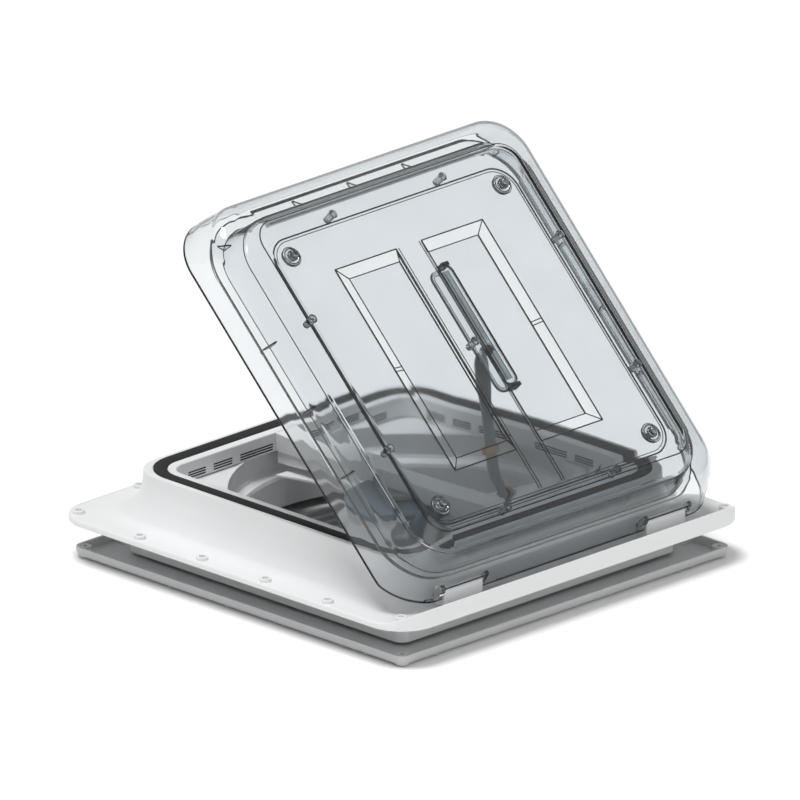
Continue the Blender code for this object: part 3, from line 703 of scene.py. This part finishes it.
def hinge_sweep(y):
    """How far the flange sweeps up towards its hinge-side edge."""
    reach = max(0.0, -y - SWEEP_START) / SWEEP_RUN
    return SWEEP_RISE * reach * reach


def roof_ring(half, z, corner, rise):
    """Square ring with round corners; its hinge side can sweep up."""
    return [(x, y, z + (hinge_sweep(y) if rise else 0.0))
            for x, y in rounded(half, -half, half, corner, 20)]


def make_roof_frame():
    """Flange, flared upstand, rim, slotted inner wall and neck."""
    top = [(250.0, 45.9, 42.0), (249.7, 46.6, 41.8), (249.0, 47.0, 41.4), (244.0, 47.0, 40.5),
           (238.0, 47.0, 40.0), (232.0, 47.0, 40.0), (226.0, 47.0, 42.0), (218.0, 47.6, 44.0)]
    flare = [(218.0, 47.6, 44.0), (212.5, 50.2, 46.0), (207.3, 56.5, 46.0), (203.4, 63.0, 45.0),
             (200.4, 70.0, 43.5), (198.0, 77.0, 41.5), (196.6, 85.0, 40.0), (196.0, 93.4, 39.5)]
    crest = [(195.8, 94.3, 39.3), (195.2, 94.8, 38.7), (194.2, 94.9, 38.0)]
    seat = [(190.9, 94.9, 44.6), (190.9, 92.6, 44.6), (175.7, 92.0, 29.4), (175.7, 94.3, 29.4)]
    inner = [(168.6, 94.3, 22.3), (167.4, 94.0, 21.1), (166.7, 93.2, 20.4), (166.6, 92.0, 20.3),
             (166.6, 74.0, 20.3), (169.6, 74.0, 23.3), (169.6, 89.0, 23.3), (193.0, 89.0, 46.0),
             (193.6, 57.0, 44.0), (193.6, 44.0, 12.0)]
    neck = [(193.6, 7.0, 9.0), (197.0, 7.0, 12.4), (197.0, 41.6, 12.4), (250.0, 41.6, 42.0)]
    rings = [roof_ring(*row, True) for row in top[:-1]]
    rings += [roof_ring(*row, False) for row in finer(flare, 5) + crest + seat + inner + neck]
    frame_piece = piece("roof_frame_skin", skin(rings, closed=True), LOOK["white_abs"], "root",
                        ("roof_frame",), None, 40)
    slots = []
    for side in (-1, 1):
        for start, length in ((17.0, 47.0), (75.0, 27.0), (113.0, 25.0)):
            for row in range(3):
                a, b = sorted((side * start, side * (start + length)))
                z = 75.8 + 2.7 * row
                slot = block(a, b, 164.0, 168.8, z, z + 1.8)
                for k in range(4):
                    slots.append(moved(slot, Matrix.Rotation(k * math.pi / 2, 4, "Z")))
    combine(frame_piece, together(slots), "DIFFERENCE")
    profile = [(6.2, -1.5), (6.2, 3.0), (6.0, 3.5), (5.5, 3.8), (4.2, 3.8), (3.6, 3.5),
               (3.4, 0.9), (3.4, -1.5)]
    spots = [(side * 240.0, y) for side in (-1, 1) for y in (-134, -45, 45, 134)]
    spots += [(x, 240.0) for x in (-134, -45, 45, 134)]
    spots += [(sx * 231.0, sy * 230.0) for sx in (-1, 1) for sy in (-1, 1)]
    bosses = []
    for x, y in spots:
        bosses.append(shifted(turned(profile, 28, closed=True), x, y, FLANGE_TOP + hinge_sweep(y)))
    piece("flange_bosses", together(bosses), LOOK["white_abs"], "root", ())


ARM_LENGTH = 153.0
ARM_BEND = 9.5
ARM_MATRIX = (Matrix.Translation((27.0, -112.0, 85.0))
              @ Matrix.Rotation(math.radians(82.5) - math.pi / 2, 4, "X"))


def make_arm():
    """Pressed strip with a wide head, stiffened by a raised middle, and its band."""
    n = ARM_LENGTH
    stations = [(-5.0, 4.2, 0.0), (8.0, 5.2, 0.0), (22.0, 6.4, 7.0), (36.0, 7.0, ARM_BEND),
                (70.0, 6.6, ARM_BEND), (n - 56, 7.0, ARM_BEND), (n - 42, 8.8, ARM_BEND),
                (n - 30, 9.5, ARM_BEND), (n - 14, 9.2, ARM_BEND), (n - 8, 7.6, ARM_BEND),
                (n - 5, 5.6, ARM_BEND), (n - 3.4, 3.2, ARM_BEND)]
    rings = []
    for z, half, shift in finer(stations, 4):
        ring = []
        for x, y in ((-1.0, -1.2), (-0.92, -1.6), (0.92, -1.6), (1.0, -1.2), (1.0, 1.2),
                     (0.92, 1.6), (0.45, 1.6), (0.36, 2.5), (-0.36, 2.5), (-0.45, 1.6),
                     (-0.92, 1.6), (-1.0, 1.2)):
            ring.append((x * half, shift + y, z))
        rings.append(ring)
    eye = along_x(turned([(2.8, -4.4), (5.2, -4.4), (5.2, 4.4), (2.8, 4.4)], 28, closed=True),
                  0.0, n)
    knuckle = along_x(turned([(2.8, -4.4), (6.4, -4.4), (6.4, 4.4), (2.8, 4.4)], 28,
                             closed=True), 0.0, 0.0)
    neck = side_profile([(4.4, n - 2.6), (ARM_BEND, n - 9.0), (ARM_BEND, n - 4.2), (4.0, n + 1.0)],
                        -4.2, 4.2)
    shape = together([skin(rings, caps=True), eye, knuckle, neck])
    piece("arm_strip", shape, LOOK["mid_grey_plastic"], "arm", ("lift_arm",),
          ARM_MATRIX, 40)
    loops = []
    for grow in (0.5, 1.3):
        half, deep = 7.2 + grow, 2.5 + grow
        loops.append([(-half, ARM_BEND - deep), (half, ARM_BEND - deep), (half, ARM_BEND + deep),
                      (-half, ARM_BEND + deep)])
    rings = [lift(loops[1], 45.0), lift(loops[1], 53.0), lift(loops[0], 53.0),
             lift(loops[0], 45.0)]
    piece("arm_collar", skin(rings, closed=True), LOOK["brass"], "arm", ("arm_band",),
          ARM_MATRIX)


make_roof_frame()
make_arm()
make_dome()
make_gussets()
make_pegs()
make_panel()
make_painted_edge_shade()
make_field_painted_edge_shade()
make_fixings()
make_rail()
make_slot_shadow_strips()


# ------------------------------------------------------------------ floor, light, camera

def floor_and_light():
    """Plain pale floor under soft, even studio light."""
    mesh = bpy.data.meshes.new("studio_floor")
    size = 6.0
    mesh.from_pydata([(-size, -size, 0), (size, -size, 0), (size, size, 0), (-size, size, 0)],
                     [], [(0, 1, 2, 3)])
    mat, tree, shader = new_material("studio_floor_look")
    tree.links.new(ramp(tree, noise(tree, 3.0), (0.93, 0.93, 0.93), (0.95, 0.95, 0.95)),
                   shader.inputs["Base Color"])
    shader.inputs["Roughness"].default_value = 0.9
    shader.inputs["Specular IOR Level"].default_value = 0.1
    mesh.materials.append(mat)
    floor = bpy.data.objects.new("studio_floor", mesh)
    floor.location.z = -0.0006
    bpy.context.scene.collection.objects.link(floor)

    world = bpy.data.worlds.new("studio_world")
    world.use_nodes = True
    shade = world.node_tree.nodes["Background"]
    shade.inputs["Color"].default_value = (1.0, 1.0, 1.0, 1.0)
    shade.inputs["Strength"].default_value = 0.42
    bpy.context.scene.world = world
    bpy.context.scene.view_settings.view_transform = "Standard"

    sun = bpy.data.lights.new("sun_light", "SUN")
    sun.energy = 2.3
    sun.angle = math.radians(22.0)
    lamp = bpy.data.objects.new("sun_light", sun)
    lamp.rotation_euler = Vector((-0.20, 0.04, 0.98)).to_track_quat("Z", "Y").to_euler()
    bpy.context.scene.collection.objects.link(lamp)

    where = Vector((-0.5, -1.9, 0.8))
    fill = bpy.data.lights.new("fill_light", "AREA")
    fill.size = 1.6
    fill.energy = 6.5
    lamp = bpy.data.objects.new("fill_light", fill)
    lamp.location = where
    aim = Vector((0.0, 0.0, 0.1)) - where
    lamp.rotation_euler = aim.to_track_quat("-Z", "Y").to_euler()
    bpy.context.scene.collection.objects.link(lamp)


def camera():
    """Parallel view from the photograph's direction."""
    azimuth, elevation = math.radians(-45.0), math.radians(20.0)
    back = Vector((math.sin(azimuth) * math.cos(elevation),
                   -math.cos(azimuth) * math.cos(elevation), math.sin(elevation)))
    data = bpy.data.cameras.new("view_camera")
    data.type = "ORTHO"
    data.ortho_scale = 0.8069
    data.clip_end = 20.0
    cam = bpy.data.objects.new("view_camera", data)
    cam.location = Vector((-0.0014, 0.0014, 0.1679)) + back * 2.5
    cam.rotation_euler = back.to_track_quat("Z", "Y").to_euler()
    bpy.context.scene.collection.objects.link(cam)
    bpy.context.scene.camera = cam


floor_and_light()
camera()
